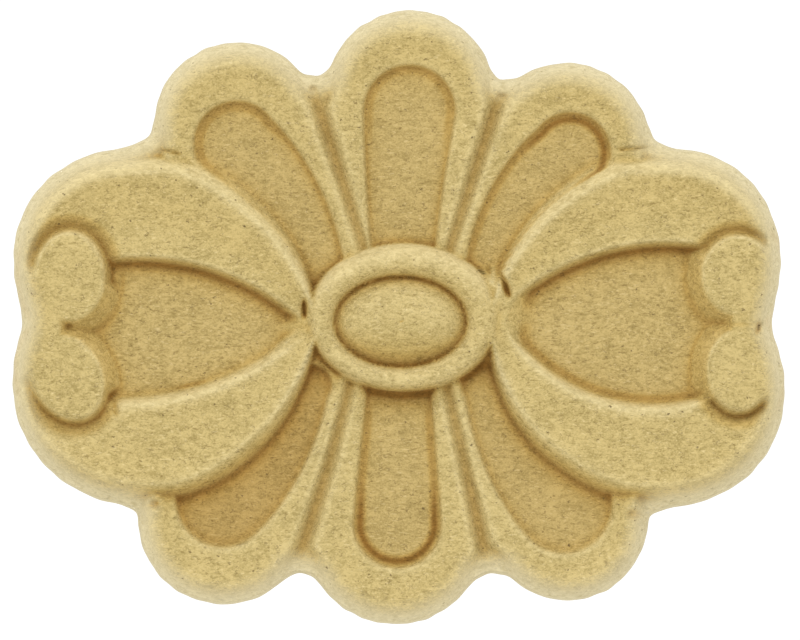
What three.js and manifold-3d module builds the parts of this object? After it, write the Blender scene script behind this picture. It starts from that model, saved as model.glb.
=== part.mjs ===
// An oval rosette moulded in wood pulp, made to be fixed flat on furniture or a wall. Six hollowed
// petals and two scroll leaves with round ends surround an oval ring with a domed boss.
// Millimetres, +Z up, +X to the viewer's right, the carved face toward -Y and the flat back at y = 0.
import * as THREE from 'three';
import { ParametricGeometry } from 'three/addons/geometries/ParametricGeometry.js';
import { mergeVertices } from 'three/addons/utils/BufferGeometryUtils.js';
import Module from 'manifold-3d';

const wasm = await Module();
wasm.setup();

// The edge is a wall that leans in a little, and every form rises from its top.
const WALL_HEIGHT = 2.8;
const WALL_LEAN = 0.25;

// The oval plate behind the petals and leaves: its middle, its two radii and its rounded rim.
const GROUND = { x: 0, z: -0.6, across: 28.8, up: 20 };
const GROUND_RISE = 0.65;
const GROUND_ROUND = 0.9;

// A petal is two circles joined by their tangents, near the middle and at its tip, and bowed
// sideways, to the left of its own direction where bow is positive. Its hollow is one more.
const TOP_PETAL = { x: 0.45, z: 0, radius: 1.55, tipX: 0.95, tipZ: 17.4, tipRadius: 6.6, bow: 0 };
const TOP_HOLLOW = { x: 0.4, z: -0.15, radius: 1.95, tipX: 0.9, tipZ: 16, tipRadius: 3.55, bow: 0.2 };
const UPPER_LEFT_PETAL = {
  x: -1.8, z: -1.2, radius: 1.4,
  tipX: -12.5, tipZ: 14.95, tipRadius: 6.55, bow: 0.25,
};
const UPPER_LEFT_HOLLOW = {
  x: -5.7, z: 3.6, radius: 1.85,
  tipX: -12.5, tipZ: 13.45, tipRadius: 3.3, bow: -0.85,
};
const UPPER_RIGHT_PETAL = {
  x: 1.9, z: -0.4, radius: 0.7,
  tipX: 13.1, tipZ: 13.25, tipRadius: 6.65, bow: -0.85,
};
const UPPER_RIGHT_HOLLOW = {
  x: 6.45, z: 3.1, radius: 1.55,
  tipX: 13.2, tipZ: 13.15, tipRadius: 3.05, bow: 1,
};
const BOTTOM_PETAL = { x: 0, z: 0, radius: 1.4, tipX: -0.2, tipZ: -16.8, tipRadius: 7.1, bow: 0 };
const BOTTOM_HOLLOW = { x: 0.15, z: 0, radius: 1.95, tipX: -0.05, tipZ: -15.95, tipRadius: 3.35, bow: 0 };
const LOWER_LEFT_PETAL = {
  x: -3.55, z: 1.85, radius: 1.2,
  tipX: -13.55, tipZ: -15.6, tipRadius: 6.75, bow: 0.3,
};
const LOWER_LEFT_HOLLOW = {
  x: -5.9, z: -5.2, radius: 1.85,
  tipX: -13.55, tipZ: -14.1, tipRadius: 3.65, bow: 0.8,
};
const LOWER_RIGHT_PETAL = {
  x: 3.1, z: 1.35, radius: 0.5,
  tipX: 13.15, tipZ: -15.7, tipRadius: 6.35, bow: -0.6,
};
const LOWER_RIGHT_HOLLOW = {
  x: 6.7, z: -5.2, radius: 1.85,
  tipX: 12.85, tipZ: -14.45, tipRadius: 3.75, bow: -0.7,
};
const PETALS = [
  { outline: TOP_PETAL, hollow: TOP_HOLLOW },
  { outline: UPPER_LEFT_PETAL, hollow: UPPER_LEFT_HOLLOW },
  { outline: UPPER_RIGHT_PETAL, hollow: UPPER_RIGHT_HOLLOW },
  { outline: BOTTOM_PETAL, hollow: BOTTOM_HOLLOW },
  { outline: LOWER_LEFT_PETAL, hollow: LOWER_LEFT_HOLLOW },
  { outline: LOWER_RIGHT_PETAL, hollow: LOWER_RIGHT_HOLLOW },
];
const PETAL_RISE = 2.35;
const PETAL_CREST_SHARE = 0.34;
const PETAL_LIP_DROP = 0.5;
const HOLLOW_DEPTH_AT_TIP = 0.95;
const HOLLOW_DEPTH_AT_ROOT = 0.35;
const HOLLOW_WALL_RUN = 0.4;

// A leaf is two tilted ovals around a pointed field where two circles overlap. The field ends at a
// straight side behind the two scroll ends. Each end stands in a pocket that is wider, by groove,
// on the side away from the other end.
const LEFT_MIDDLE = { x: -15.4, z: -1 };
const LEFT_UPPER_OVAL = { x: -18.45, z: 2.2, long: 12.4, short: 10.05, tilt: -38.6 };
const LEFT_LOWER_OVAL = { x: -18.55, z: -3.65, long: 11.95, short: 10.55, tilt: 34.9 };
const LEFT_FIELD_TOP = { x: -20.85, z: -13.25, radius: 17.9 };
const LEFT_FIELD_BOTTOM = { x: -21.8, z: 15.95, radius: 22.35 };
const LEFT_FIELD_END = -26.1;
const LEFT_UPPER_END = { x: -25.45, z: 3.2, across: 2.5, up: 3.35, groove: 0.85 };
const LEFT_LOWER_END = { x: -25.85, z: -4.65, across: 2.65, up: 3.35, groove: 0.7 };
const RIGHT_MIDDLE = { x: 16.5, z: -0.6 };
const RIGHT_UPPER_OVAL = { x: 18.85, z: 2, long: 12.25, short: 9.85, tilt: 48 };
const RIGHT_LOWER_OVAL = { x: 18.75, z: -4.15, long: 11.9, short: 10.15, tilt: -32.7 };
const RIGHT_FIELD_TOP = { x: 20.8, z: -9.9, radius: 15.4 };
const RIGHT_FIELD_BOTTOM = { x: 19.6, z: 5.55, radius: 12.05 };
const RIGHT_FIELD_END = 27.5;
const RIGHT_UPPER_END = { x: 26.4, z: 3.35, across: 2.5, up: 2.95, groove: 0.6 };
const RIGHT_LOWER_END = { x: 26.2, z: -4.1, across: 2.5, up: 3.05, groove: 0.6 };
const LEAVES = [
  {
    middle: LEFT_MIDDLE,
    ovals: [LEFT_UPPER_OVAL, LEFT_LOWER_OVAL],
    arcs: [LEFT_FIELD_TOP, LEFT_FIELD_BOTTOM],
    fieldEnd: LEFT_FIELD_END,
    ends: [LEFT_UPPER_END, LEFT_LOWER_END],
  },
  {
    middle: RIGHT_MIDDLE,
    ovals: [RIGHT_UPPER_OVAL, RIGHT_LOWER_OVAL],
    arcs: [RIGHT_FIELD_TOP, RIGHT_FIELD_BOTTOM],
    fieldEnd: RIGHT_FIELD_END,
    ends: [RIGHT_UPPER_END, RIGHT_LOWER_END],
  },
];
const LEAF_RISE = 3.2;
const LEAF_SHOULDER_RUN = 1.9;
const LEAF_SHOULDER_SHARE = 0.3;
const LEAF_LIP_DROP = 0.35;
const LEAF_DISH_SAG = 0.33;
const FIELD_DEPTH = 1.45;
const FIELD_WALL_RUN = 0.45;

// The scroll ends, as rises from the crest of their leaf, and the grooves round them.
const SCROLL_STEP = 0.15;
const SCROLL_DOME = 0.12;
const SCROLL_ROUND = 0.35;
const SCROLL_SLOPE = 1.6;
const SCROLL_SINK = 0.3;
const SCROLL_EDGE_RUN = 1.1;
const GROOVE_ROUND = 0.6;
const GROOVE_DEPTH = 1.05;

// The ring in the middle, and the groove inside it that the boss rises from.
const RING = { x: 0.45, z: 0, across: 7.6, up: 5.85 };
const RING_GROOVE = { x: 0.3, z: -0.3, across: 4.75, up: 3.5 };
const RING_STEP = 0.3;
const RING_SINK = 0.2;
const RING_CREST_SHARE = 0.5;
const RING_GROOVE_DEPTH = 1.2;
const BOSS_STEP = 0.7;

// Heights forward of the back plane.
const GROUND_HEIGHT = WALL_HEIGHT + GROUND_RISE;
const PETAL_CREST = WALL_HEIGHT + PETAL_RISE;
const PETAL_LIP = PETAL_CREST - PETAL_LIP_DROP;
const HOLLOW_AT_TIP = PETAL_LIP - HOLLOW_DEPTH_AT_TIP;
const HOLLOW_AT_ROOT = PETAL_LIP - HOLLOW_DEPTH_AT_ROOT;
const LEAF_CREST = WALL_HEIGHT + LEAF_RISE;
const LEAF_LIP = LEAF_CREST - LEAF_LIP_DROP;
const FIELD_HEIGHT = LEAF_LIP - FIELD_DEPTH;
const GROOVE_BOTTOM = LEAF_CREST - GROOVE_DEPTH;
const SCROLL_FOOT = FIELD_HEIGHT - SCROLL_SINK;
const SCROLL_EDGE = LEAF_CREST + SCROLL_STEP;
const SCROLL_TOP = SCROLL_EDGE + SCROLL_DOME;
const RING_FOOT = HOLLOW_AT_ROOT - RING_SINK;
const RING_CREST = LEAF_CREST + RING_STEP;
const RING_GROOVE_BOTTOM = RING_CREST - RING_GROOVE_DEPTH;
const BOSS_TOP = RING_CREST + BOSS_STEP;

// How far each body reaches behind the back plane before it is cut off flat there.
const FOOT_DEPTH = 1;

// Where the rings of each body lie, as shares of the way in.
const PETAL_RIM_SHARES = [0, 0.04, 0.11, 0.2, PETAL_CREST_SHARE, 0.7, 1];
const LEAF_SHOULDER_SHARES = [0, 0.08, 0.2, 0.4, 0.65, 1];
const LEAF_DISH_SHARES = [0.3, 0.65, 1];
const BLOCK_SHARES = [0, 0.15, 0.45, 1];
const GROOVE_SHARES = [0, 0.33, 0.67, 1];
const RING_SHARES = [0, 0.08, 0.22, RING_CREST_SHARE, 0.75, 1];
const BOSS_SHARES = [0.1, 0.3, 0.6, 0.85];
const HOLLOW_MIDDLE_SHARE = 0.6;

// How finely the curves are divided.
const GROUND_STATIONS = 60;
const TIP_STATIONS = 14;
const SIDE_STATIONS = 8;
const ROOT_STATIONS = 3;
const LEAF_STATIONS = 64;
const SCROLL_STATIONS = 22;
const RING_STATIONS = 36;
const SMALLEST_DETAIL = 0.01;

const WOOD = new THREE.MeshStandardMaterial({ color: '#cbb179', roughness: 0.92, metalness: 0 });

const ORIGIN = new THREE.Vector2();
const mix = THREE.MathUtils.lerp;
const radians = THREE.MathUtils.degToRad;

// A step of a given length in a direction.
const step = (length, angle) => new THREE.Vector2(length, 0).rotateAround(ORIGIN, angle);

// A rounded rise from 0 to 1 that starts steep and ends level.
const rise = (share) => 1 - (1 - share) ** 2;

// A hump from 0 up to 1 in the middle and back.
const hump = (share) => 4 * share * (1 - share);

// A closed mesh as a solid for joining and cutting.
function solid(geometry) {
  const bare = geometry.clone().deleteAttribute('normal').deleteAttribute('uv');
  const welded = mergeVertices(bare, 1e-5);
  const corners = [];
  for (let i = 0; i < welded.index.count; i += 3) {
    const [a, b, c] = [0, 1, 2].map((k) => welded.index.getX(i + k));
    if (a !== b && b !== c && c !== a) corners.push(a, b, c);
  }
  return new wasm.Manifold(
    new wasm.Mesh({
      numProp: 3,
      vertProperties: new Float32Array(welded.attributes.position.array),
      triVerts: new Uint32Array(corners),
    }),
  );
}

// A body built up ring by ring, from a flat bottom to a middle point on top. Each ring gives a
// point in the plane for a share of the way round, and the height of a point on it.
function stack(rings, stations, middle, topHeight = rings.at(-1).height(middle)) {
  const last = rings.length + 1;
  const place = (u, v, target) => {
    const row = Math.round(v * last);
    if (row === 0) return target.set(middle.x, -rings[0].height(middle), middle.y);
    if (row === last) return target.set(middle.x, -topHeight, middle.y);
    const at = rings[row - 1].at(u === 1 ? 0 : u);
    return target.set(at.x, -rings[row - 1].height(at), at.y);
  };
  return solid(new ParametricGeometry(place, stations, last));
}

// A body that stands on the back plane, with a foot that reaches behind it to be cut off flat.
function raised(footCurve, rings, ...rest) {
  const foot = { at: footCurve, height: () => -FOOT_DEPTH };
  return stack([foot, { at: footCurve, height: () => 0 }, ...rings], ...rest);
}

// The far crossing of a ray from inside a tilted oval with its edge.
function rayOut(oval, from, heading) {
  const centre = new THREE.Vector2(oval.x, oval.z);
  const turn = -radians(oval.tilt);
  const radii = new THREE.Vector2(oval.long, oval.short);
  const start = from.clone().sub(centre).rotateAround(ORIGIN, turn).divide(radii);
  const ray = heading.clone().rotateAround(ORIGIN, turn).divide(radii);
  const half = start.dot(ray) / ray.lengthSq();
  return -half + Math.sqrt(half ** 2 - (start.lengthSq() - 1) / ray.lengthSq());
}

// The same tilted oval drawn in by a distance.
const drawnIn = (oval, inset) => ({ ...oval, long: oval.long - inset, short: oval.short - inset });

// A circle written as an oval.
const round = (circle) => ({ ...circle, long: circle.radius, short: circle.radius, tilt: 0 });

// The curve round an upright oval that is grown by a distance.
function ovalCurve(oval, grow) {
  return (u) => {
    const angle = 2 * Math.PI * u;
    const x = oval.x + (oval.across + grow) * Math.cos(angle);
    return new THREE.Vector2(x, oval.z + (oval.up + grow) * Math.sin(angle));
  };
}

// The curve round a petal or its hollow, drawn in by a distance.
function petalCurve(form, inset) {
  const root = new THREE.Vector2(form.x, form.z);
  const tip = new THREE.Vector2(form.tipX, form.tipZ);
  const length = root.distanceTo(tip);
  const heading = tip.clone().sub(root).angle();
  const turn = Math.acos((form.radius - form.tipRadius) / length);
  const points = [];
  const mark = (share, angle) => {
    const radius = mix(form.radius, form.tipRadius, share) - inset;
    const point = root.clone().lerp(tip, share);
    point.add(step(radius, heading + angle));
    const along = point.clone().sub(root).rotateAround(ORIGIN, -heading).x / length;
    const way = THREE.MathUtils.clamp(along, 0, 1);
    points.push(point.add(step(form.bow * hump(way), heading + Math.PI / 2)));
  };
  for (let i = 0; i < SIDE_STATIONS; i++) mark(i / SIDE_STATIONS, -turn);
  for (let i = 0; i < TIP_STATIONS; i++) mark(1, mix(-turn, turn, i / TIP_STATIONS));
  for (let i = 0; i < SIDE_STATIONS; i++) mark(1 - i / SIDE_STATIONS, turn);
  for (let i = 0; i < ROOT_STATIONS; i++) mark(0, mix(turn, 2 * Math.PI - turn, i / ROOT_STATIONS));
  return (u) => points[Math.round(u * points.length) % points.length];
}

// A curve part of the way from one to another.
const between = (from, to, share) => (u) => from(u).clone().lerp(to(u), share);

// A petal: a leaning wall, a rounded crest, a rim that slopes in, a short wall and a tilted floor.
function petal({ outline, hollow }) {
  const top = petalCurve(outline, WALL_LEAN);
  const lip = petalCurve(hollow, 0);
  const rimHeight = (share) => {
    if (share < PETAL_CREST_SHARE) {
      return mix(WALL_HEIGHT, PETAL_CREST, rise(share / PETAL_CREST_SHARE));
    }
    return mix(PETAL_CREST, PETAL_LIP, (share - PETAL_CREST_SHARE) / (1 - PETAL_CREST_SHARE));
  };
  const root = new THREE.Vector2(hollow.x, hollow.z);
  const tip = new THREE.Vector2(hollow.tipX, hollow.tipZ);
  const axis = tip.clone().sub(root);
  const floorHeight = (at) => {
    const share = at.clone().sub(root).dot(axis) / axis.lengthSq();
    return mix(HOLLOW_AT_ROOT, HOLLOW_AT_TIP, share);
  };
  const rings = PETAL_RIM_SHARES.map((share) => {
    return { at: between(top, lip, share), height: () => rimHeight(share) };
  });
  rings.push({ at: petalCurve(hollow, HOLLOW_WALL_RUN), height: floorHeight });
  const stations = 2 * SIDE_STATIONS + TIP_STATIONS + ROOT_STATIONS;
  return raised(petalCurve(outline, 0), rings, stations, root.lerp(tip, HOLLOW_MIDDLE_SHARE));
}

// The outer curve of a leaf, drawn in by a distance: the two ovals together.
function leafCurve(leaf, inset) {
  const middle = new THREE.Vector2(leaf.middle.x, leaf.middle.z);
  return (u) => {
    const heading = step(1, 2 * Math.PI * u);
    const ways = leaf.ovals.map((oval) => rayOut(drawnIn(oval, inset), middle, heading));
    return heading.multiplyScalar(Math.max(...ways)).add(middle);
  };
}

// The curve round a leaf's field, drawn in by a distance.
function fieldCurve(leaf, inset) {
  const middle = new THREE.Vector2(leaf.middle.x, leaf.middle.z);
  return (u) => {
    const heading = step(1, 2 * Math.PI * u);
    const arcs = leaf.arcs.map((arc) => rayOut(round(arc), middle, heading));
    const toEnd = (leaf.fieldEnd - middle.x) / heading.x;
    const way = Math.min(...arcs, toEnd > 0 ? toEnd : Infinity);
    return heading.multiplyScalar(way - inset).add(middle);
  };
}

// The rings of a leaf's shoulder, which is narrower where the leaf is.
function shoulder(outer, inner, run, crest, shares) {
  return shares.map((share) => ({
    at: (u) => {
      const start = outer(u);
      const width = start.distanceTo(inner(u));
      const reach = Math.min(run, LEAF_SHOULDER_SHARE * width);
      return start.lerp(inner(u), (share * reach) / width);
    },
    height: () => mix(WALL_HEIGHT, crest, rise(share)),
  }));
}

// A leaf: a wide rounded shoulder, a shallow dish, a lip and the sunk field.
function leaf(form) {
  const outer = leafCurve(form, WALL_LEAN);
  const lip = fieldCurve(form, 0);
  const rings = shoulder(outer, lip, LEAF_SHOULDER_RUN, LEAF_CREST, LEAF_SHOULDER_SHARES);
  const crest = rings.at(-1).at;
  LEAF_DISH_SHARES.forEach((share) => {
    const height = mix(LEAF_CREST, LEAF_LIP, share) - LEAF_DISH_SAG * hump(share);
    rings.push({ at: between(crest, lip, share), height: () => height });
  });
  rings.push({ at: fieldCurve(form, FIELD_WALL_RUN), height: () => FIELD_HEIGHT });
  const middle = new THREE.Vector2(form.middle.x, form.middle.z);
  return raised(leafCurve(form, 0), rings, LEAF_STATIONS, middle);
}

// A leaf's outer edge as a full block, which its scroll ends stay inside.
function leafBlock(form) {
  const outer = leafCurve(form, WALL_LEAN);
  const middle = new THREE.Vector2(form.middle.x, form.middle.z);
  const rings = shoulder(outer, () => middle, SCROLL_EDGE_RUN, SCROLL_TOP + SCROLL_ROUND, BLOCK_SHARES);
  return raised(leafCurve(form, 0), rings, LEAF_STATIONS, middle);
}

// A round scroll end: sloped sides that reach below the field, a rounded edge and a low dome.
function scrollEnd(form) {
  const run = (SCROLL_EDGE - SCROLL_ROUND - SCROLL_FOOT) / SCROLL_SLOPE;
  const rings = [
    { at: ovalCurve(form, run), height: () => SCROLL_FOOT },
    { at: ovalCurve(form, 0), height: () => SCROLL_EDGE - SCROLL_ROUND },
    { at: ovalCurve(form, -SCROLL_ROUND / 2), height: () => SCROLL_EDGE - SCROLL_ROUND / 4 },
    { at: ovalCurve(form, -SCROLL_ROUND), height: () => SCROLL_EDGE },
    { at: ovalCurve(form, -form.across / 2), height: () => SCROLL_TOP },
  ];
  return raised(ovalCurve(form, run), rings, SCROLL_STATIONS, new THREE.Vector2(form.x, form.z));
}

// The cutter for the pocket that a scroll end stands in: a round-bottomed half of an oval.
function pocketCutter(form) {
  const rings = GROOVE_SHARES.map((share) => {
    const angle = (share * Math.PI) / 2;
    const height = GROOVE_BOTTOM + GROOVE_ROUND * (1 - Math.cos(angle));
    return { at: ovalCurve(form, form.groove + GROOVE_ROUND * Math.sin(angle)), height: () => height };
  });
  rings.push({ at: rings.at(-1).at, height: () => SCROLL_TOP + GROOVE_ROUND });
  const oval = stack(rings, SCROLL_STATIONS, new THREE.Vector2(form.x, form.z));
  const reach = 4 * SCROLL_TOP;
  const half = new THREE.BoxGeometry(reach, reach, reach);
  half.translate(form.x, 0, form.z + (Math.sign(form.z) * reach) / 2);
  return oval.intersect(solid(half));
}

// The oval ring, the groove inside it and the domed boss.
function ringAndBoss() {
  const outer = ovalCurve(RING, 0);
  const groove = ovalCurve(RING_GROOVE, 0);
  const centre = new THREE.Vector2(RING_GROOVE.x, RING_GROOVE.z);
  const rings = RING_SHARES.map((share) => {
    const low = share < RING_CREST_SHARE ? RING_FOOT : RING_GROOVE_BOTTOM;
    const side = share < RING_CREST_SHARE ? RING_CREST_SHARE : 1 - RING_CREST_SHARE;
    const swell = Math.sqrt(1 - ((share - RING_CREST_SHARE) / side) ** 2);
    return { at: between(outer, groove, share), height: () => mix(low, RING_CREST, swell) };
  });
  BOSS_SHARES.forEach((share) => {
    const height = mix(RING_GROOVE_BOTTOM, BOSS_TOP, rise(share));
    rings.push({ at: between(groove, () => centre, share), height: () => height });
  });
  return raised(outer, rings, RING_STATIONS, centre, BOSS_TOP);
}

// The oval plate that shows in the notches between the petals.
function ground() {
  const rings = [
    { at: ovalCurve(GROUND, -WALL_LEAN), height: () => WALL_HEIGHT },
    { at: ovalCurve(GROUND, -GROUND_ROUND), height: () => GROUND_HEIGHT },
  ];
  return raised(ovalCurve(GROUND, 0), rings, GROUND_STATIONS, new THREE.Vector2(GROUND.x, GROUND.z));
}

// Everything in front of the back plane.
function frontSpace() {
  const reach = 4 * GROUND.across;
  return solid(new THREE.BoxGeometry(reach, reach, reach).translate(0, -reach / 2, 0));
}

// A solid as a mesh geometry.
function geometryOf(body) {
  const { vertProperties, triVerts } = body.getMesh();
  const geometry = new THREE.BufferGeometry();
  geometry.setAttribute('position', new THREE.BufferAttribute(vertProperties, 3));
  geometry.setIndex(new THREE.BufferAttribute(triVerts, 1));
  geometry.computeVertexNormals();
  return geometry;
}

// A leaf with its two pockets cut and the scroll ends set in them.
function carvedLeaf(form) {
  const grooved = form.ends.reduce((body, end) => body.subtract(pocketCutter(end)), leaf(form));
  const block = leafBlock(form);
  return form.ends.reduce((body, end) => body.add(scrollEnd(end).intersect(block)), grooved);
}

const pieces = [...PETALS.map(petal), ...LEAVES.map(carvedLeaf), ringAndBoss()];
const whole = pieces.reduce((body, piece) => body.add(piece), ground()).intersect(frontSpace());
const body = whole.asOriginal().simplify(SMALLEST_DETAIL);

const applique = new THREE.Mesh(geometryOf(body), WOOD);
applique.name = 'applique';
const rosette = new THREE.Group();
rosette.add(applique);

export default rosette;
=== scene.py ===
import bmesh
import bpy
import numpy as np
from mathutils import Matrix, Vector


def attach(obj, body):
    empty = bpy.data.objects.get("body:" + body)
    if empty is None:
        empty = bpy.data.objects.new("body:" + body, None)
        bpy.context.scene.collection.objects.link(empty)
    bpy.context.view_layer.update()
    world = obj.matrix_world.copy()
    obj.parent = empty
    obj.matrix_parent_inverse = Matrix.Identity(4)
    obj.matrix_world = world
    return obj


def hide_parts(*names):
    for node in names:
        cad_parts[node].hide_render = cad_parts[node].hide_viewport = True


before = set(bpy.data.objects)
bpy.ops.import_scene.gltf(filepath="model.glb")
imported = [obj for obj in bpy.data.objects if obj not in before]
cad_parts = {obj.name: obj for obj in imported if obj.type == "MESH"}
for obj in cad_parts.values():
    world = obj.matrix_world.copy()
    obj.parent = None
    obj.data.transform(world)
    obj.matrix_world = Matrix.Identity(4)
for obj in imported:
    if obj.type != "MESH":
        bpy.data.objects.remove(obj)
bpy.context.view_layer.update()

# The body of the rosette. It is one piece of wood pulp, pressed in a mould while wet, so its
# carving is all one surface: the edge is a low wall that leans in, and every form rises from it.
# Sizes are in millimetres, x to the viewer's right, z up and heights forward of the flat back.
MM = 0.001
WALL_HEIGHT = 2.8
WALL_LEAN = 0.25
NOTCH_FILLET = 1.0
PLATE = dict(x=0, z=-0.6, across=28.8, up=20)
PLATE_HEIGHT = 4.25
WEB_HEIGHT = 4.2
WEB_RUN = 1.1
WEB_END = 4.4
ROUND_POWER = 2
SEAM_POWER = 1.35
NEVER_ZERO = 1e-9


def ease(start, end, value):
    """A smooth change from 0 at start to 1 at end."""
    share = np.clip((value - start) / (end - start), 0, 1)
    return share * share * (3 - 2 * share)


def between(first, second, share):
    """The value a share of the way from first to second."""
    return first + (second - first) * share


def arch(share):
    """0 at both ends and 1 half way, on a smooth curve."""
    return 4 * share * (1 - share)


def bell(distance, width):
    """1 at no distance, and down to nothing about two widths away."""
    return np.exp(-((distance / width) ** 2))


def rise(share, power=ROUND_POWER):
    """A rounded rise from 0 to 1 that starts steep and ends level."""
    return 1 - (1 - np.clip(share, 0, 1)) ** power


def side_rise(share, lap):
    """The rise of a form's side: rounder at the outer edge than where forms lap."""
    return rise(share, between(ROUND_POWER, SEAM_POWER, lap))


def flank(outside, rounding):
    """How far a slope of 1 has come from where it starts, with its start rounded."""
    return np.hypot(np.maximum(outside, 0), rounding) - rounding


def lower_of(first, second, softness):
    """The lower of two fields, with the crease between them rounded."""
    share = np.clip(0.5 + 0.5 * (second - first) / softness, 0, 1)
    return between(second, first, share) - softness * share * (1 - share)


def higher_of(first, second, softness):
    """The higher of two fields, with the crease between them rounded."""
    return -lower_of(-first, -second, softness)


def oval_distance(x, z, oval):
    """How far points lie outside an oval, below 0 inside it, with its long side turned by tilt."""
    turn = np.radians(oval.get("tilt", 0))
    along = (x - oval["x"]) * np.cos(turn) + (z - oval["z"]) * np.sin(turn)
    aside = (z - oval["z"]) * np.cos(turn) - (x - oval["x"]) * np.sin(turn)
    ring = np.hypot(along / oval["across"], aside / oval["up"])
    slope = np.hypot(along / oval["across"] ** 2, aside / oval["up"] ** 2) + NEVER_ZERO
    return ring * (ring - 1) / slope


def plate_height(edge):
    """The plate behind the forms, with a rounded web in each notch."""
    web = between(WALL_HEIGHT, WEB_HEIGHT, rise(edge / WEB_RUN))
    return web + (PLATE_HEIGHT - WEB_HEIGHT) * ease(WEB_RUN, WEB_END, edge)


# The six petals. Each is pressed as one long drop with a rounded crest near its edge, a rim that
# slopes in, and a soft-walled hollow with a floor that rises toward the middle of the rosette.
# Crease is how deep the foot of a hollow's wall is cut, which also sets the painted shade there;
# where given, the other number is how much darker its floor is painted, partly a stain of the pulp
# and partly painted shade.
PETALS = [
    dict(
        outline=dict(root=(0.45, 0), tip=(0.95, 17.4), radii=(1.55, 6.6), bow=0),
        hollow=dict(root=(0.4, -0.15), tip=(0.9, 16), radii=(1.95, 3.55), bow=0.2),
        crease=0.35,
    ),
    dict(
        outline=dict(root=(-1.8, -1.2), tip=(-12.5, 14.95), radii=(1.4, 6.55), bow=0.25),
        hollow=dict(root=(-5.7, 3.6), tip=(-12.5, 13.45), radii=(1.85, 3.3), bow=-0.85),
        crease=0.45,
    ),
    dict(
        outline=dict(root=(1.9, -0.4), tip=(13.1, 13.25), radii=(0.7, 6.65), bow=-0.85),
        hollow=dict(root=(6.45, 3.1), tip=(13.35, 12.75), radii=(1.55, 3.1), bow=1),
        crease=0.85,
    ),
    dict(
        outline=dict(root=(0, 0), tip=(-0.2, -16.8), radii=(1.4, 7.1), bow=0),
        hollow=dict(root=(0.15, 0), tip=(-0.05, -15.95), radii=(1.95, 3.35), bow=0),
        crease=0.9,
    ),
    dict(
        outline=dict(root=(-3.55, 1.85), tip=(-13.55, -15.6), radii=(1.2, 6.75), bow=0.3),
        hollow=dict(root=(-6.65, -5.2), tip=(-13.55, -14.1), radii=(1.6, 3.65), bow=0.75),
        crease=0.15,
        # This floor lies under the lower left leaf: its extra darkening is mostly painted shade.
        stain_and_shade=0.8,
    ),
    dict(
        outline=dict(root=(3.1, 1.35), tip=(13.15, -15.7), radii=(0.5, 6.35), bow=-0.6),
        hollow=dict(root=(6.7, -5.2), tip=(12.85, -14.45), radii=(1.85, 3.75), bow=-0.7),
        crease=0.15,
        stain_and_shade=0.15,
    ),
]
PETAL_CREST = 5.15
PETAL_LIP = 4.8
PETAL_CREST_SHARE = 0.34
PETAL_CREST_RUN = 0.8
PETAL_LEAST_RIM = 0.1
PETAL_LAP = 1.2
PETAL_LAP_SPAN = (0.8, 3.2)
HOLLOW_AT_TIP = 3.65
HOLLOW_AT_ROOT = 4.2
HOLLOW_SIDE_WALL = 0.55
HOLLOW_TIP_WALL = 0.85
HOLLOW_TIP_SPAN = (0.8, 1)
HOLLOW_WALL_TOP = 0.3
HOLLOW_WALL_FOOT = -0.7
HOLLOW_CREASE_PLACE = 0.55
HOLLOW_CREASE_ROOT = (0, 0.15)
HOLLOW_CREASE_TIP = (0.75, 1)
HOLLOW_CREASE_SIDES = 0.5
CREASE_WIDTH = 0.36


def drop_distance(x, z, drop):
    """How far points lie outside a bowed drop, and how far along it they are, from 0 to 1."""
    (root_x, root_z), (tip_x, tip_z) = drop["root"], drop["tip"]
    radius, tip_radius = drop["radii"]
    length = np.hypot(tip_x - root_x, tip_z - root_z)
    way_x, way_z = (tip_x - root_x) / length, (tip_z - root_z) / length
    along = (x - root_x) * way_x + (z - root_z) * way_z
    aside = (z - root_z) * way_x - (x - root_x) * way_z
    share = np.clip(along / length, 0, 1)
    aside = np.abs(aside - drop["bow"] * arch(share))
    taper = (radius - tip_radius) / length
    level = np.sqrt(1 - taper**2)
    place = along * level - aside * taper
    side = aside * level + along * taper - radius
    root = np.hypot(along, aside) - radius
    tip = np.hypot(along - length, aside) - tip_radius
    distance = np.where(place < 0, root, np.where(place > length * level, tip, side))
    return distance, share


def hollow_wall(share):
    """How wide the wall of a hollow is, from its sides to its tip."""
    return between(HOLLOW_SIDE_WALL, HOLLOW_TIP_WALL, ease(*HOLLOW_TIP_SPAN, share))


def hollow_crease(inside, share, petal):
    """How deep the crease at the foot of a hollow's wall is. It is deepest at the tip."""
    crease = bell(inside + HOLLOW_CREASE_PLACE * hollow_wall(share), CREASE_WIDTH)
    crease = petal["crease"] * crease * ease(*HOLLOW_CREASE_ROOT, share)
    return crease * between(HOLLOW_CREASE_SIDES, 1, ease(*HOLLOW_CREASE_TIP, share))


def petal_height(x, z, edge, petal):
    """The relief of one petal: a rounded crest, a rim that slopes in, and the hollow. Away from
    the outer edge the petals are pressed into each other, so that a groove like a V is left."""
    lap = ease(*PETAL_LAP_SPAN, edge)
    outside = drop_distance(x, z, petal["outline"])[0] - PETAL_LAP * lap
    inside, share = drop_distance(x, z, petal["hollow"])
    outer = np.maximum(-outside - WALL_LEAN, 0)
    inner = np.maximum(inside, 0)
    width = outer + inner + NEVER_ZERO
    run = np.maximum(PETAL_CREST_SHARE * width, PETAL_CREST_RUN)
    fall = ease(0, 1, (outer - run) / np.maximum(width - run, PETAL_LEAST_RIM))
    crest = between(WALL_HEIGHT, PETAL_CREST, side_rise(outer / run, lap))
    rim = crest - (PETAL_CREST - PETAL_LIP) * fall
    floor = between(HOLLOW_AT_ROOT, HOLLOW_AT_TIP, share)
    wall = hollow_wall(share)
    sunk = ease(HOLLOW_WALL_TOP * wall, HOLLOW_WALL_FOOT * wall, inside)
    return between(rim, floor, sunk) - hollow_crease(inside, share, petal)


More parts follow.
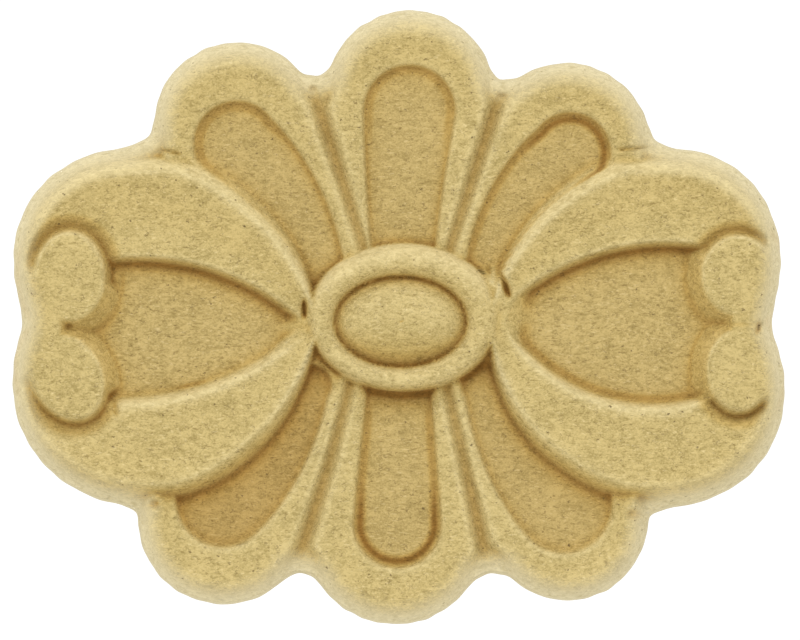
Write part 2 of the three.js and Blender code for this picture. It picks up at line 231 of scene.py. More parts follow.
# The four seams, two between the upper petals and two between the lower ones. Each is a groove
# like a V with a rounded bottom, which runs out from the ring and gets deeper on the way.
SEAMS = [
    dict(root=(-2.3, 4.35), tip=(-6.7, 18.1), radii=(0.02, 0.04), bow=0),
    dict(root=(3.65, 4.15), tip=(8.1, 17.9), radii=(0.02, 0.04), bow=0),
    dict(root=(-3.55, -4.45), tip=(-7.65, -18.5), radii=(0.02, 0.04), bow=0.2),
    dict(root=(3.7, -4.85), tip=(6.8, -18.5), radii=(0.02, 0.04), bow=0),
]
SEAM_AT_TIP = 4.0
SEAM_AT_ROOT = 4.3
SEAM_SLOPE = 1.5
SEAM_ROUNDING = 0.1
SEAM_SOFTNESS = 0.35


def with_seam(x, z, height, seam):
    """A relief with the groove between two petals pressed in it."""
    outside, share = drop_distance(x, z, seam)
    bottom = between(SEAM_AT_ROOT, SEAM_AT_TIP, share)
    return lower_of(height, bottom + SEAM_SLOPE * flank(outside, SEAM_ROUNDING), SEAM_SOFTNESS)


# The two leaves. Each is two big lobes pressed as one, with a broad rounded shoulder, a shallow
# dish, a soft lip, and a field sunk between the lobes. The field lies inside two arcs, one with
# its middle set low and one set high, so it is pointed toward the ring.
LEAVES = [
    dict(
        lobes=[
            dict(x=-18.45, z=2.2, across=12.4, up=10.05, tilt=-38.6, lap=1.25),
            dict(x=-18.55, z=-3.65, across=11.95, up=10.55, tilt=34.9, lap=0.8),
        ],
        arcs=[dict(x=-20.15, z=-14.5, radius=19.05), dict(x=-21.8, z=15.95, radius=22.35)],
        tip_rounding=1.5,
        field_end=-26.1,
        crease=0,
    ),
    dict(
        lobes=[
            dict(x=18.85, z=2, across=12.25, up=9.85, tilt=48, lap=1.35),
            dict(x=18.75, z=-4.15, across=11.9, up=10.15, tilt=-32.7, lap=0.8),
        ],
        arcs=[dict(x=20.85, z=-12.6, radius=18.3), dict(x=19.7, z=6.75, radius=13.5)],
        tip_rounding=3,
        field_end=27.5,
        crease=0.5,
    ),
]
LEAF_CREST = 6
LEAF_LIP = 5.65
LEAF_LAP_SPAN = (0.6, 3.5)
LEAF_SHOULDER_RUN = 1.9
LEAF_SHOULDER_LAP = 0.3
LEAF_SHOULDER_SHARE = 0.3
LEAF_LEAST_RUN = 0.05
LEAF_DISH = 0.33
LEAF_LIP_ROLL = 0.5
LEAF_LIP_DROP = 0.25
FIELD_HEIGHT = 4.2
FIELD_TOP_WALL = 1.1
FIELD_BOTTOM_WALL = 0.95
FIELD_WALL_TOP = 0.35
FIELD_WALL_FOOT = -0.65
FIELD_TIP_SLOPE = 1.2
FIELD_SIDE_BLEND = 1
FIELD_END_ROUNDING = 0.3
FIELD_TOP_CREASE = 0.3
FIELD_CREASE_PLACE = 0.5


def leaf_field(x, z, leaf):
    """How far points lie outside a leaf's field, its wall's width, and the crease at its foot."""
    low, high = (np.hypot(x - arc["x"], z - arc["z"]) - arc["radius"] for arc in leaf["arcs"])
    field = higher_of(low, high, leaf["tip_rounding"])
    upper = ease(-FIELD_SIDE_BLEND, FIELD_SIDE_BLEND, low - high)
    tip = ease(leaf["tip_rounding"], 0, np.abs(low - high))
    wall = between(FIELD_BOTTOM_WALL, FIELD_TOP_WALL, upper) + FIELD_TIP_SLOPE * tip
    end = np.sign(leaf["field_end"]) * (x - leaf["field_end"])
    field = higher_of(field, end, FIELD_END_ROUNDING)
    crease = between(leaf["crease"], FIELD_TOP_CREASE, upper) * (1 - tip)
    return field, wall, crease * bell(field + FIELD_CREASE_PLACE * wall, CREASE_WIDTH)


def leaf_height(x, z, edge, leaf):
    """The relief of one leaf without its scroll ends. It laps a little over the petals."""
    lap = ease(*LEAF_LAP_SPAN, edge)
    first, second = (oval_distance(x, z, lobe) - lobe["lap"] * lap for lobe in leaf["lobes"])
    outside = lower_of(first, second, NOTCH_FILLET)
    field, wall, crease = leaf_field(x, z, leaf)
    outer = np.maximum(-outside - WALL_LEAN, 0)
    inner = np.maximum(field, 0)
    width = outer + inner + NEVER_ZERO
    run = np.minimum(LEAF_SHOULDER_RUN + LEAF_SHOULDER_LAP * lap, LEAF_SHOULDER_SHARE * width)
    run = run + LEAF_LEAST_RUN
    face = np.clip((outer - run) / (width - run), 0, 1)
    top = between(LEAF_CREST, LEAF_LIP, face) - LEAF_DISH * arch(face)
    top = between(WALL_HEIGHT, top, side_rise(outer / run, lap))
    top = top - LEAF_LIP_DROP * ease(LEAF_LIP_ROLL, 0, inner) ** 2
    sunk = ease(FIELD_WALL_TOP * wall, FIELD_WALL_FOOT * wall, field)
    return between(top, FIELD_HEIGHT, sunk) - crease


# The four round scroll ends at the sides. Each is a flat button with sloped walls that stands in
# the field, and a groove curls round it, from start to end in degrees, on the side away from the
# other end. The two ends of a leaf run together toward the outer edge, in a saddle.
SCROLLS = [
    dict(x=-25.4, z=3.25, across=2.5, up=3.25, wall=1.9, outer=1.0, start=-12, end=168),
    dict(x=-25.6, z=-4.6, across=3.3, up=2.45, tilt=-62, wall=1.7, outer=1.5, start=184, end=342),
    dict(x=26.3, z=3.3, across=2.55, up=2.9, wall=1.7, outer=0.8, start=47, end=142),
    dict(x=26.4, z=-4.1, across=2.25, up=3.0, wall=1.8, outer=0.7, start=226, end=308),
]
SADDLES = [
    dict(x=-28.4, z=-0.6, across=2.2, up=2.6, height=6.1),
    dict(x=27.6, z=-0.35, across=1.7, up=1.9, height=6.0),
]
SCROLL_TOP = 6.15
SCROLL_FOOT = 3.9
SCROLL_ROUNDING = 0.2
SCROLL_ROUNDING_START = -0.1
SCROLL_DOME = 0.12
SCROLL_DOME_RUN = 2.5
SCROLL_SOFTNESS = 0.12
SADDLE_WALL = 1.4
SADDLE_SOFTNESS = 0.8
GROOVE_DEPTH = 0.85
GROOVE_START = -0.2
GROOVE_MIDDLE = 0.45
GROOVE_SIDE_WALL = 0.8
GROOVE_FADE = 13
DIP = 0.3
DIP_RUN = 2.6
SHORE_ABOVE_SCROLLS = 0.15
SHORE_RUN = 1.5
SHORE_SOFTNESS = 0.25


def button(outside, top, wall):
    """A flat top with a rounded edge and a straight sloped wall, from the distance outside."""
    down = (top - SCROLL_FOOT) / wall * flank(outside - SCROLL_ROUNDING_START, SCROLL_ROUNDING)
    return top - down + SCROLL_DOME * np.clip(-outside / SCROLL_DOME_RUN, 0, 1)


def with_scroll(x, z, height, scroll):
    """A relief with the groove of one scroll end cut in it and the end set in the groove."""
    outside = oval_distance(x, z, scroll)
    angle = np.degrees(np.arctan2(z - scroll["z"], x - scroll["x"]))
    middle = (scroll["start"] + scroll["end"]) / 2
    off = np.abs((angle - middle + 180) % 360 - 180)
    half = (scroll["end"] - scroll["start"]) / 2
    arc = ease(half + GROOVE_FADE, half - GROOVE_FADE / 2, off)
    groove = ease(GROOVE_START, GROOVE_MIDDLE, outside)
    groove = groove * ease(GROOVE_MIDDLE + scroll["outer"], GROOVE_MIDDLE, outside)
    cut = GROOVE_DEPTH * groove + DIP * bell(np.maximum(outside, 0), DIP_RUN)
    room = np.clip((height - FIELD_HEIGHT) / (LEAF_CREST - FIELD_HEIGHT), 0, 1)
    wall = between(scroll["wall"], GROOVE_SIDE_WALL, arc)
    return higher_of(height - cut * arc * room, button(outside, SCROLL_TOP, wall), SCROLL_SOFTNESS)


def leaf_ends(x, z, height, edge, side):
    """A leaf's relief with its two scroll ends and their saddle, kept inside its shoulder."""
    for saddle in SADDLES:
        if saddle["x"] * side > 0:
            top = button(oval_distance(x, z, saddle), saddle["height"], SADDLE_WALL)
            height = higher_of(height, top, SADDLE_SOFTNESS)
    for scroll in SCROLLS:
        if scroll["x"] * side > 0:
            height = with_scroll(x, z, height, scroll)
    shore = between(WALL_HEIGHT, SCROLL_TOP + SHORE_ABOVE_SCROLLS, rise(edge / SHORE_RUN))
    return lower_of(height, shore, SHORE_SOFTNESS)


# The ring and boss in the middle. The ring is a soft broad roll pressed over the roots of the
# petals, with a round groove inside it that a low domed boss rises from. The right leaf runs
# into it, over a little web.
RING = dict(x=0.45, z=0, across=7.6, up=5.85)
RING_GROOVE = dict(x=0.2, z=-0.3, across=5.1, up=3.5)
RING_FOOT = 4.1
RING_CREST = 6.3
RING_GROOVE_BOTTOM = 5.1
RING_SOFTNESS = 0.3
RING_WEB = dict(x=7.55, z=1.7, across=0.3, up=1.2, tilt=15)
RING_WEB_HEIGHT = 5.45
RING_WEB_WALL = 0.8
RING_WEB_SOFTNESS = 0.4
BOSS_TOP = 7


def ring_height(x, z):
    """How far points lie outside the ring, and the relief of the ring and boss."""
    outside = oval_distance(x, z, RING)
    groove = oval_distance(x, z, RING_GROOVE)
    outer = np.maximum(-outside, 0)
    inner = np.maximum(groove, 0)
    across = outer / (outer + inner + NEVER_ZERO)
    swell = np.sqrt(np.clip(1 - (2 * across - 1) ** 2, 0, 1))
    ring = between(np.where(across < 0.5, RING_FOOT, RING_GROOVE_BOTTOM), RING_CREST, swell)
    boss = between(RING_GROOVE_BOTTOM, BOSS_TOP, rise(-groove / RING_GROOVE["up"]))
    return outside, np.where(groove > 0, ring, boss)


# The pits and cracks that the press left: beside the scroll ends, where the leaves meet the ring,
# and in the notches of the outline.
PITS = [
    dict(x=-25.45, z=-0.62, across=0.3, up=0.2, depth=0.4),
    dict(x=27.9, z=-0.75, across=0.2, up=0.5, tilt=-12, depth=1),
    dict(x=26.3, z=-0.5, across=1.7, up=0.1, depth=0.25),
    dict(x=-7.25, z=0.65, across=0.2, up=0.75, depth=0.9),
    dict(x=8.3, z=2.5, across=0.25, up=0.95, tilt=20, depth=1),
    dict(x=-18.9, z=-14.4, across=0.4, up=0.3, depth=0.5),
    dict(x=18.3, z=-15.15, across=0.5, up=0.35, depth=0.5),
    dict(x=-17.6, z=12.85, across=0.8, up=0.15, tilt=-12, depth=0.4),
    dict(x=-21.9, z=-7.0, across=0.2, up=0.6, tilt=8, depth=0.4),
    dict(x=-15.95, z=-5.2, across=1, up=0.08, tilt=13, depth=0.35),
    dict(x=18.3, z=13.1, across=1.1, up=0.1, tilt=5, depth=0.45),
    dict(x=-6.6, z=17.8, across=0.25, up=0.2, depth=0.45),
    dict(x=8.15, z=17.2, across=0.3, up=0.2, depth=0.4),
]
PIT_SOFTNESS = 0.25
PIT_REACH = 9


def pit_share(x, z, pit):
    """1 in the middle of a pit and 0 outside it."""
    return bell((oval_distance(x, z, pit) / PIT_SOFTNESS + 1).clip(0, PIT_REACH), 1)


# The whole relief, as the mould gives it. The forms run together softly, with a fillet in each
# notch of the outline, because wet pulp doesn't fill a sharp corner. The outline is ragged by
# a tenth of a millimetre, from a few waves that run round it.
WEB_SOFTNESS = 0.9
WEB_SOFTNESS_SPAN = (3, 1)
RAGGED_COUNTS = (23, 41, 67, 89, 113)
RAGGED_EDGE = 0.07
LEAST_RADIUS = 12.0
MOST_RADIUS = 36.0
RADIUS_HALVINGS = 30


def outline_distance(x, z):
    """How far points lie outside the whole outline."""
    distance = oval_distance(x, z, PLATE)
    for petal in PETALS:
        distance = lower_of(distance, drop_distance(x, z, petal["outline"])[0], NOTCH_FILLET)
    for leaf in LEAVES:
        lobes = [oval_distance(x, z, lobe) for lobe in leaf["lobes"]]
        distance = lower_of(distance, lower_of(*lobes, NOTCH_FILLET), NOTCH_FILLET)
    return distance


def relief(x, z):
    """The height of the front at points inside the outline."""
    edge = np.maximum(-outline_distance(x, z) - WALL_LEAN, 0)
    height = plate_height(edge)
    for petal in PETALS:
        softness = SEAM_SOFTNESS + WEB_SOFTNESS * ease(*WEB_SOFTNESS_SPAN, edge)
        height = higher_of(height, petal_height(x, z, edge, petal), softness)
    for seam in SEAMS:
        height = with_seam(x, z, height, seam)
    for leaf in LEAVES:
        top = leaf_ends(x, z, leaf_height(x, z, edge, leaf), edge, leaf["field_end"])
        height = higher_of(height, top, SEAM_SOFTNESS)
    outside, top = ring_height(x, z)
    height = np.where(outside < 0, higher_of(height, top, RING_SOFTNESS), height)
    web = button(oval_distance(x, z, RING_WEB), RING_WEB_HEIGHT, RING_WEB_WALL)
    height = higher_of(height, web, RING_WEB_SOFTNESS)
    for pit in PITS:
        height = height - pit["depth"] * pit_share(x, z, pit)
    return height


def edge_radius(angle, inset):
    """How far the outline lies from the middle in each direction, drawn in by inset."""
    near, far = np.full_like(angle, LEAST_RADIUS), np.full_like(angle, MOST_RADIUS)
    ragged = sum(np.sin(count * angle + count**2) for count in RAGGED_COUNTS) / len(RAGGED_COUNTS)
    ragged = RAGGED_EDGE * (1 + ragged)
    for _ in range(RADIUS_HALVINGS):
        middle = (near + far) / 2
        inside = outline_distance(middle * np.cos(angle), middle * np.sin(angle)) < -inset - ragged
        near, far = np.where(inside, middle, near), np.where(inside, far, middle)
    return near


# The mesh of the front. A square grid is bent to a disc, ring by ring, and drawn out to the
# outline, and each point is then lifted to the relief's height there.
ROWS = 300
body = bmesh.new()
bmesh.ops.create_grid(body, x_segments=ROWS, y_segments=ROWS, size=1)
u, w = np.array([v.co[:2] for v in body.verts]).T
reach = np.maximum(np.abs(u), np.abs(w))
wide = np.abs(u) > np.abs(w)
slant = np.where(wide, w / np.where(u == 0, 1, u), u / np.where(w == 0, 1, w)) * np.pi / 4
half_turn = np.where(np.where(wide, u, w) < 0, np.pi, 0)
angle = np.where(wide, slant, np.pi / 2 - slant) + half_turn
radius = reach * edge_radius(angle, WALL_LEAN)
x, z = radius * np.cos(angle), radius * np.sin(angle)
for vert, place in zip(body.verts, np.stack([x, -relief(x, z), z], 1) * MM):
    vert.co = place

# Its low wall leans out to the flat back, which is sanded, with its edge just broken. Each ring
# of the wall is given by how far it lies behind the front's edge and in from the outline.
WALL_RINGS = ((1.4, 0.12), (2.65, 0), (WALL_HEIGHT, 0.12))
rim = [edge for edge in body.edges if edge.is_boundary]
for drop, inset in WALL_RINGS:
    made = bmesh.ops.extrude_edge_only(body, edges=rim)["geom"]
    ring = [part for part in made if isinstance(part, bmesh.types.BMVert)]
    rim = [part for part in made if isinstance(part, bmesh.types.BMEdge) and part.is_boundary]
    angle = np.array([np.arctan2(v.co.z, v.co.x) for v in ring])
    radius = edge_radius(angle, inset)
    for vert, turn, length in zip(ring, angle, radius):
        vert.co = Vector((length * np.cos(turn), drop - WALL_HEIGHT, length * np.sin(turn))) * MM
back = bmesh.ops.contextual_create(body, geom=rim)["faces"]
for face in body.faces:
    face.smooth = face not in back
for edge in rim:
    edge.smooth = False
bmesh.ops.triangulate(body, faces=back)
bmesh.ops.recalc_face_normals(body, faces=body.faces)

mesh = bpy.data.meshes.new("rosette_body")
body.to_mesh(mesh)
body.free()
rosette = bpy.data.objects.new("rosette_body", mesh)
bpy.context.scene.collection.objects.link(rosette)

# Painted light, found on an even grid at three widths: crest, which sets a painted highlight, is
# how far a point stands above its surroundings, and crease, which sets painted shade, how far it
# lies below them. Both lean toward what lies above the point, where the light comes from.
GRID_STEP = 0.1
GRID_X = np.arange(-32, 32, GRID_STEP)
GRID_Z = np.arange(-26, 26, GRID_STEP)
LAST_CELL = 1.001
LEAST_COVER = 0.2
SURROUNDINGS = (
    dict(spread=0.25, crease=1.4, crest=0.8),
    dict(spread=0.6, crease=0.4, crest=0.5),
    dict(spread=1.2, crease=0.35, crest=0.25),
)
SHADE_FROM_ABOVE = 0.5
HIGHLIGHT_FROM_ABOVE = 0.6


def blurred(field, spread):
    """A field on the even grid, smoothed over a distance."""
    ways = [np.fft.fftfreq(count, GRID_STEP) for count in field.shape]
    kernel = np.exp(-2 * (np.pi * spread) ** 2 * (ways[0][:, None] ** 2 + ways[1][None] ** 2))
    return np.real(np.fft.ifft2(np.fft.fft2(field) * kernel))


def sampled(field, x, z):
    """The field's values at loose points."""
    column = np.clip((x - GRID_X[0]) / GRID_STEP, 0, len(GRID_X) - LAST_CELL)
    row = np.clip((z - GRID_Z[0]) / GRID_STEP, 0, len(GRID_Z) - LAST_CELL)
    i, j = row.astype(int), column.astype(int)
    a, b = row - i, column - j
    below = field[i, j] * (1 - b) + field[i, j + 1] * b
    above = field[i + 1, j] * (1 - b) + field[i + 1, j + 1] * b
    return below * (1 - a) + above * a


def beyond(all_round, from_above, share):
    """How far one height passes two others, up to 1, with a share for the second of them."""
    return (1 - share) * np.clip(all_round, 0, 1) + share * np.clip(from_above, 0, 1)


grid_x, grid_z = np.meshgrid(GRID_X, GRID_Z)
cover = (-outline_distance(grid_x, grid_z) > 0).astype(float)
level = np.where(cover > 0, relief(grid_x, grid_z), 0)
crease = np.zeros_like(level)
crest = np.zeros_like(level)
for width in SURROUNDINGS:
    spread = width["spread"]
    mean = blurred(level, spread) / np.maximum(blurred(cover, spread), LEAST_COVER)
    over = sampled(mean, grid_x, grid_z + spread)
    crease += width["crease"] * beyond(mean - level, over - level, SHADE_FROM_ABOVE)
    crest += width["crest"] * beyond(level - mean, level - over, HIGHLIGHT_FROM_ABOVE)

# Four numbers are kept at each point of the body, for its material to read: crest, for the painted
# highlight;
# crease, for painted shade in creases and pits and on the walls of the scroll ends; the distance
# from the outer edge; and hollow, how much a low floor is darkened, partly a stain of the pulp and
# partly painted shade. The spans say between which distances or heights a share fades, and the
# shares how much is taken off or on.
CLEAR_OF_EDGE = (0.7, 2.2)
BELOW_CRESTS = (5.4, 5.2)
SCROLLS_FROM_MIDDLE = (20, 22)
RING_FROM_MIDDLE = (9, 8)
RING_SHARE = 0.4
FLAT_TOPS = (6, 6.12)
HIGHLIGHT_OFF_TOPS = 0.7
SEAM_SPAN = (1.3, 0.4)
SHADE_OFF_SEAMS = 0.68
SIDES_FROM_MIDDLE = (22.5, 24)
SHADE_OFF_SIDES = 0.35
PETAL_SPAN = (0.2, -0.2)
HOLLOW_SPAN = (0.3, -0.5)
HOLLOW_STAIN_AND_SHADE_SHARE = 0.62
HOLLOW_HEIGHTS = (4.85, 3.9)
HOLLOW_FROM_EDGE = (1, 2.4)
# How much painted shade the walls and feet of the scroll ends and the pits get.
SCROLL_WALL_SHADE = 0.28
SCROLL_WALL_TOP_FADE = 0.4
SCROLL_WALL_FOOT_FADE = 0.6
SCROLL_WALL_HEIGHTS = (6.1, 5.8)
SCROLL_WALL_FROM_EDGE = (1.5, 2.5)
SCROLL_FOOT_SHADE = 0.4
SCROLL_FOOT_PLACE = 0.85
SCROLL_FOOT_WIDTH = 0.25
SCROLL_FOOT_HEIGHTS = (4.9, 4.4)
PIT_SHADE = 0.6


def store(name, values):
    """A number kept at each point of the body."""
    data = mesh.attributes.new(name, "FLOAT", "POINT").data
    data.foreach_set("value", values.astype(np.float32))


points = np.array([v.co for v in mesh.vertices]) / MM
x, height, z = points[:, 0], -points[:, 1], points[:, 2]
from_middle = np.abs(x)
from_edge = -outline_distance(x, z)
on_top = ease(*SCROLLS_FROM_MIDDLE, from_middle)
on_top = on_top + RING_SHARE * ease(*RING_FROM_MIDDLE, from_middle)
on_top = on_top * ease(*FLAT_TOPS, height)
clear = ease(*CLEAR_OF_EDGE, from_edge)
# The crest number sets the painted highlight on crests, strongest where they face the light from
# above.
store("crest", sampled(crest, x, z) * clear * (1 - HIGHLIGHT_OFF_TOPS * on_top))

# Painted shade: in creases, at the feet of the walls of hollows and fields, on the walls and feet
# of the scroll ends and in the pits.
in_seam = np.min([drop_distance(x, z, seam)[0] for seam in SEAMS], axis=0)
painted_shade = sampled(crease, x, z) * clear
painted_shade = painted_shade * (1 - SHADE_OFF_SEAMS * ease(*SEAM_SPAN, in_seam))
painted_shade = painted_shade * (1 - SHADE_OFF_SIDES * ease(*SIDES_FROM_MIDDLE, from_middle))
seen = ease(*BELOW_CRESTS, height)
for leaf in LEAVES:
    on_side = x * leaf["field_end"] > 0
    painted_shade = np.maximum(painted_shade, leaf_field(x, z, leaf)[2] * seen * on_side)
# How much low floors are darkened: partly a stain of the pulp, partly painted shade.
stain_and_shade = HOLLOW_STAIN_AND_SHADE_SHARE
for petal in PETALS:
    inside, share = drop_distance(x, z, petal["hollow"])
    in_petal = ease(*PETAL_SPAN, drop_distance(x, z, petal["outline"])[0])
    painted_shade = np.maximum(painted_shade, hollow_crease(inside, share, petal) * seen * in_petal)
    stain_and_shade = stain_and_shade + petal.get("stain_and_shade", 0) * ease(*HOLLOW_SPAN, inside)
for scroll in SCROLLS:
    outside, wall = oval_distance(x, z, scroll), scroll["wall"]
    on_wall = ease(0, SCROLL_WALL_TOP_FADE, outside)
    on_wall = on_wall * ease(wall, wall - SCROLL_WALL_FOOT_FADE, outside)
    on_wall = on_wall * ease(*SCROLL_WALL_HEIGHTS, height)
    on_wall = on_wall * ease(*SCROLL_WALL_FROM_EDGE, from_edge)
    foot = bell(outside - SCROLL_FOOT_PLACE * wall, SCROLL_FOOT_WIDTH)
    foot = foot * ease(*SCROLL_FOOT_HEIGHTS, height)
    painted_shade = np.maximum(painted_shade, SCROLL_WALL_SHADE * on_wall)
    painted_shade = np.maximum(painted_shade, SCROLL_FOOT_SHADE * foot)
for pit in PITS:
    painted_shade = np.maximum(painted_shade, PIT_SHADE * pit["depth"] * pit_share(x, z, pit))
store("crease", painted_shade)
store("edge", from_edge)
store("hollow", ease(*HOLLOW_HEIGHTS, height) * ease(*HOLLOW_FROM_EDGE, from_edge) * stain_and_shade)

# The finish is the bare pulp: matt and tan, with fine fibres that lie mostly across, pale and
# dark flecks, a few curled hairs and specks of bark, and a faint cloudiness from the press. The
# scales are per millimetre, and a span says at which values of its noise a mark starts and ends.
TAN = (0.565, 0.44, 0.182, 1)
TAN_DARK = (0.34, 0.258, 0.09, 1)
TAN_PALE = (0.78, 0.64, 0.34, 1)
TAN_SHADOW = (0.2, 0.135, 0.04, 1)
TAN_SHARE = 0.64
BARK = (0.09, 0.055, 0.02, 1)
CLOUD_SCALE = 0.35
CLOUD_CONTRAST = 0.8
FIBRE_SCALE = (1.5, 2.5, 2.75)
FIBRE_CONTRAST = 2.9
GRAIN_SCALE = (6.5, 8, 8)
GRAIN_CONTRAST = 2.0
FLECK_SCALE = (2.6, 5, 8)
PALE_FLECKS = (0.62, 0.75)
PALE_FLECK_SHARE = 0.4
DARK_FLECKS = (0.27, 0.36)
DARK_FLECK_SHARE = 0.55
CURL_SCALE = (1.1, 1.8, 2)
HAIR_SPAN = (0.00005, 0.0006)
HAIR_PATCH_SCALE = 1.9
HAIR_PATCHES = (0.52, 0.62)
HAIR_SHARE = 0.4
SPECK_SCALE = (0.8, 1, 1.3)
SPECK_CELLS = 0.9
SPECK_SPAN = (0.03, 0.11)
SPECK_SHARE = 0.8
JITTER_SCALE = 5
JITTER_REACH = (0.4, 0.4, 0.4)
wood = bpy.data.materials.new("pressed_wood_pulp")
wood.use_nodes = True
wood.node_tree.nodes.clear()


class Pulp:
    """One output of the material's nodes. Sums on it add Math nodes."""

    def __init__(self, socket):
        self.socket = socket

    @staticmethod
    def node(kind, settings, sockets, output=0):
        made = wood.node_tree.nodes.new(kind)
        for name, value in settings.items():
            setattr(made, name, value)
        for name, value in sockets.items():
            if isinstance(value, Pulp):
                wood.node_tree.links.new(value.socket, made.inputs[name])
            else:
                made.inputs[name].default_value = value
        return Pulp(made.outputs[output] if made.outputs else None)

    def math(self, operation, first, second):
        return self.node("ShaderNodeMath", {"operation": operation}, {0: first, 1: second})

    def __add__(self, other):
        return self.math("ADD", self, other)

    __radd__ = __add__

    def __sub__(self, other):
        return self.math("SUBTRACT", self, other)

    def __rsub__(self, other):
        return self.math("SUBTRACT", other, self)

    def __mul__(self, other):
        return self.math("MULTIPLY", self, other)

    __rmul__ = __mul__

    def band(self, low, high):
        """0 below low, 1 above high, and smooth between."""
        sockets = {"Value": self, "From Min": low, "From Max": high}
        return self.node("ShaderNodeMapRange", {"interpolation_type": "SMOOTHSTEP"}, sockets)

    def swing(self, contrast):
        """How far a noise lies above or below its middle, made stronger or weaker."""
        return (self - 0.5) * contrast


def attribute(name):
    """A number kept on the mesh."""
    return Pulp.node("ShaderNodeAttribute", {"attribute_name": name}, {}, "Fac")


def stretched(place, scale):
    """The place on the body, scaled along each direction."""
    return Pulp.node("ShaderNodeVectorMath", {"operation": "MULTIPLY"}, {0: place, 1: scale})


def noise(place, scale, detail, roughness=0.5, distortion=0):
    """Cloudy noise round 0.5."""
    sockets = {"Vector": place, "Scale": scale, "Detail": detail}
    sockets |= {"Roughness": roughness, "Distortion": distortion}
    return Pulp.node("ShaderNodeTexNoise", {}, sockets)


def tint(share, first, second):
    """A colour between two others."""
    settings = {"data_type": "RGBA", "clamp_factor": True}
    return Pulp.node("ShaderNodeMix", settings, {"Factor": share, 6: first, 7: second}, 2)


def shaded(colour, share, stain_and_shade):
    """A colour times a darker colour, by share: it gives the stains of the pulp and the painted
    shade.
    """
    settings = {"data_type": "RGBA", "blend_type": "MULTIPLY", "clamp_factor": True}
    return Pulp.node("ShaderNodeMix", settings, {"Factor": share, 6: colour, 7: stain_and_shade}, 2)


place = stretched(Pulp.node("ShaderNodeTexCoord", {}, {}, "Object"), (1 / MM, 1 / MM, 1 / MM))
cloud = noise(place, CLOUD_SCALE, detail=3)
fibre = noise(stretched(place, FIBRE_SCALE), 1, detail=4, roughness=0.7, distortion=0.9)
grain = noise(stretched(place, GRAIN_SCALE), 1, detail=2, roughness=0.7)
fleck = noise(stretched(place, FLECK_SCALE), 1, detail=1)
curl = noise(stretched(place, CURL_SCALE), 1, detail=2, roughness=0.7)
hair = 1 - ((curl - 0.5) * (curl - 0.5)).band(*HAIR_SPAN)
hair = hair * noise(place, HAIR_PATCH_SCALE, detail=2).band(*HAIR_PATCHES)
jitter = Pulp.node("ShaderNodeTexNoise", {}, {"Vector": place, "Scale": JITTER_SCALE}, "Color")
strewn_sockets = {0: jitter, 1: JITTER_REACH, 2: place}
strewn = Pulp.node("ShaderNodeVectorMath", {"operation": "MULTIPLY_ADD"}, strewn_sockets)
speck_sockets = {"Vector": stretched(strewn, SPECK_SCALE), "Scale": SPECK_CELLS, "Randomness": 1.0}
speck = Pulp.node("ShaderNodeTexVoronoi", {"feature": "F1"}, speck_sockets, "Distance")
tan = cloud.swing(CLOUD_CONTRAST) + fibre.swing(FIBRE_CONTRAST) + grain.swing(GRAIN_CONTRAST)
colour = tint(tan + TAN_SHARE, TAN_DARK, TAN)
colour = tint(fleck.band(*PALE_FLECKS) * PALE_FLECK_SHARE, colour, TAN_PALE)
colour = tint((1 - fleck.band(*DARK_FLECKS)) * DARK_FLECK_SHARE, colour, TAN_SHADOW)
colour = tint(hair * HAIR_SHARE, colour, BARK)

# Painted light and the pulp's own marks on that colour: crests get a painted highlight, low floors
# are darkened, partly by a stain and partly by painted shade, creases get painted shade, golden
# where it is slight and brown where it is deep, and the outer edge is cream, partly paler pulp and
# partly a painted sheen. The specks of bark lie on top of it all.
CREST_HIGHLIGHT_CREAM = (0.86, 0.74, 0.42, 1)
CREST_HIGHLIGHT_TAN = (0.64, 0.52, 0.26, 1)
CREST_SPAN = (0.05, 0.6)
CREST_RAGGED = 0.3
CREST_HIGHLIGHT_TINT = 0.45
HOLLOW_STAIN_AND_SHADE = (0.79, 0.69, 0.55, 1)
SHADE_GOLD = (0.97, 0.88, 0.66, 1)
SHADE_GOLD_GAIN = 3
SHADE_BROWN = (0.5, 0.36, 0.2, 1)
SHADE_BROWN_SPAN = (0.1, 1)
EDGE_CREAM_SHEEN = (0.86, 0.8, 0.58, 1)
EDGE_SHADE = (0.62, 0.54, 0.33, 1)
EDGE_SPAN = (0.2, 2.2)
EDGE_RAGGED = 2
EDGE_SHEEN_TINT = 0.6
CREAM_CONTRAST = 3
ROUGHNESS = 0.95
SPECULAR = 0.25
BUMP_STRENGTH = 0.6
BUMP_HEIGHT = 0.05
pale = fibre.swing(CREAM_CONTRAST) + 0.5
# Painted highlight: crests are made paler, most where they face the light from above.
painted_highlight = (attribute("crest") + fibre.swing(CREST_RAGGED)).band(*CREST_SPAN)
colour = tint(painted_highlight * CREST_HIGHLIGHT_TINT, colour, tint(pale, CREST_HIGHLIGHT_TAN, CREST_HIGHLIGHT_CREAM))
# Low floors darkened: partly a stain of the pulp, partly painted shade.
colour = shaded(colour, attribute("hollow"), HOLLOW_STAIN_AND_SHADE)
# Painted shade in creases and pits: golden where it is slight, brown where it is deep.
colour = shaded(colour, attribute("crease") * SHADE_GOLD_GAIN, SHADE_GOLD)
colour = shaded(colour, attribute("crease").band(*SHADE_BROWN_SPAN), SHADE_BROWN)
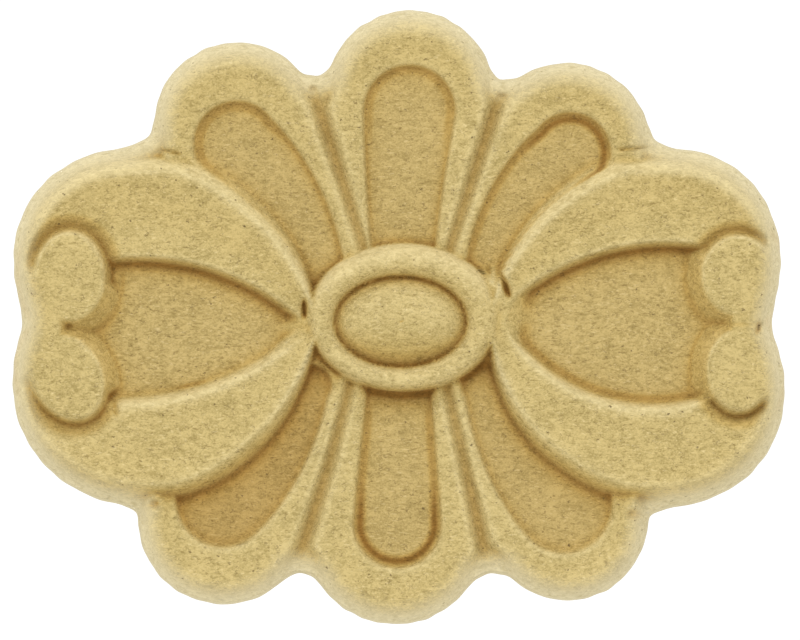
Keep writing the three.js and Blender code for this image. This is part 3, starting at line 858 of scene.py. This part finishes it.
# The cream outer edge: partly paler pulp, partly a painted sheen from the white all round.
inland = (attribute("edge") + fibre.swing(EDGE_RAGGED)).band(*EDGE_SPAN)
colour = tint((1 - inland) * EDGE_SHEEN_TINT, colour, tint(pale, EDGE_SHADE, EDGE_CREAM_SHEEN))
colour = tint((1 - speck.band(*SPECK_SPAN)) * SPECK_SHARE, colour, BARK)
bump_sockets = {"Strength": BUMP_STRENGTH, "Distance": BUMP_HEIGHT * MM}
bump_sockets["Height"] = fibre * 0.5 + grain * 0.5
shader_sockets = {
    "Base Color": colour,
    "Roughness": ROUGHNESS,
    "Normal": Pulp.node("ShaderNodeBump", {}, bump_sockets),
    "Specular IOR Level": SPECULAR,
}
shader = Pulp.node("ShaderNodeBsdfPrincipled", {}, shader_sockets)
Pulp.node("ShaderNodeOutputMaterial", {}, {"Surface": shader})
mesh.materials.append(wood)

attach(rosette, "root")
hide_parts("applique")

# The camera looks straight at the front from far off, as the photograph does, so that the relief
# is seen without perspective. PICTURE_WIDTH is what the picture takes in from side to side, in
# millimetres, and its middle lies a little off the rosette's.
PICTURE_WIDTH = 62.26
PICTURE_MIDDLE_X = 0.16
PICTURE_MIDDLE_Z = -0.16
camera_data = bpy.data.cameras.new("camera")
camera_data.lens = 600
camera_data.clip_end = 10
camera = bpy.data.objects.new("camera", camera_data)
distance = PICTURE_WIDTH * camera_data.lens / camera_data.sensor_width
camera.location = Vector((PICTURE_MIDDLE_X, -distance, PICTURE_MIDDLE_Z)) * MM
camera.rotation_euler = (np.pi / 2, 0, 0)
bpy.context.scene.collection.objects.link(camera)
bpy.context.scene.camera = camera

# The studio: a plain pale floor well below, white all round, and one broad soft light from above
# and in front, a little to the left. Its sizes are in metres.
WORLD_STRENGTH = 1.1
LIGHT_SIZE = 0.9
LIGHT_POWER = 4.75
LIGHT_PLACE = (-0.2, -1.0, 0.83)
FLOOR_SIZE = 1.5
FLOOR_BELOW = 0.3
FLOOR_COLOUR = (0.85, 0.85, 0.84, 1)
FLOOR_ROUGHNESS = 0.9
bpy.context.scene.view_settings.view_transform = "Standard"
world = bpy.data.worlds.new("white_studio")
world.use_nodes = True
world.node_tree.nodes["Background"].inputs["Color"].default_value = (1, 1, 1, 1)
world.node_tree.nodes["Background"].inputs["Strength"].default_value = WORLD_STRENGTH
bpy.context.scene.world = world

light_data = bpy.data.lights.new("soft_light", "AREA")
light_data.size = LIGHT_SIZE
light_data.energy = LIGHT_POWER
light = bpy.data.objects.new("soft_light", light_data)
light.location = LIGHT_PLACE
light.rotation_euler = Vector(light.location).to_track_quat("Z", "Y").to_euler()
bpy.context.scene.collection.objects.link(light)

ground = bmesh.new()
bmesh.ops.create_grid(ground, x_segments=1, y_segments=1, size=FLOOR_SIZE)
bmesh.ops.translate(ground, verts=ground.verts, vec=(0, 0, -FLOOR_BELOW))
floor_mesh = bpy.data.meshes.new("floor")
ground.to_mesh(floor_mesh)
ground.free()
floor = bpy.data.objects.new("floor", floor_mesh)
bpy.context.scene.collection.objects.link(floor)
paint = bpy.data.materials.new("pale_floor")
paint.use_nodes = True
paint.node_tree.nodes["Principled BSDF"].inputs["Base Color"].default_value = FLOOR_COLOUR
paint.node_tree.nodes["Principled BSDF"].inputs["Roughness"].default_value = FLOOR_ROUGHNESS
floor_mesh.materials.append(paint)
